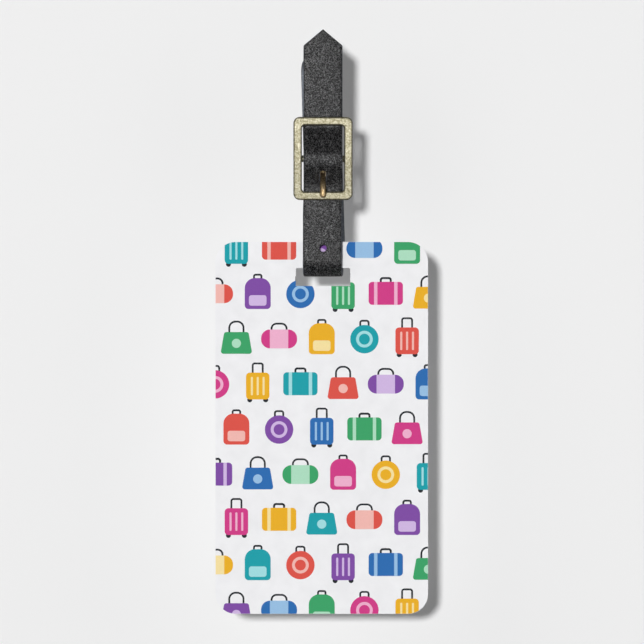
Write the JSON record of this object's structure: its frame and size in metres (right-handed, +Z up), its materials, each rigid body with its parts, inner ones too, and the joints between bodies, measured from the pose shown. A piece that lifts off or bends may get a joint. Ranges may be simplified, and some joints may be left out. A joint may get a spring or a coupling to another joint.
{
  "type": "luggage tag",
  "caption": "Flat printed card tag hung on a black leather strap that closes with a small brass centre-bar buckle.",
  "frame": {"origin": "point inside the top of the strap's loop where a bag's handle bears, on the strap's middle", "axes": "+Z up as the tag hangs, +X to the right seen from the printed front, the front faces -Y"},
  "size_m": [0.0508, 0.0152, 0.1396],
  "materials": {
    "card_plastic": "gloss",
    "front_print": "gloss",
    "back_print": "gloss",
    "strap_leather": "pebble grain",
    "rivet_brass": "antique",
    "buckle_brass": "antique",
    "tongue_brass": "worn"
  },
  "bodies": {
    "strap": {"strap_loop": "strap_leather", "rivet_post": "rivet_brass", "rivet_cap": "rivet_brass"},
    "strap_end": {"strap_free_end": "strap_leather"},
    "buckle": {"buckle_frame": "buckle_brass", "buckle_pin": "buckle_brass"},
    "tongue": {"buckle_tongue": "tongue_brass"},
    "card": {"card_core": "card_plastic", "front_film": "front_print", "back_film": "back_print"}
  },
  "joints": [
    {"name": "strap_release", "type": "hinge", "parent": "strap", "child": "strap_end", "pos_m": [0, -0.0022, -0.0468], "axis": [1, 0, 0], "range_deg": [0, 100], "deforming": ["strap_free_end"]},
    {"name": "buckle_tilt", "type": "hinge", "parent": "strap", "child": "buckle", "pos_m": [0, -0.004, -0.0224], "axis": [1, 0, 0], "range_deg": [0, 20]},
    {"name": "tongue_pivot", "type": "hinge", "parent": "buckle", "child": "tongue", "pos_m": [0, -0.004, -0.0224], "axis": [-1, 0, 0], "range_deg": [0, 90]},
    {"name": "card_swing", "type": "hinge", "parent": "strap", "child": "card", "pos_m": [0, -0.0022, -0.0468], "axis": [-1, 0, 0], "range_deg": [-11, 20]}
  ],
  "couplings": [
    {"joint": "buckle_tilt", "follows": "strap_release", "ratio": 0.2},
    {"joint": "tongue_pivot", "follows": "strap_release", "ratio": 0.9}
  ]
}
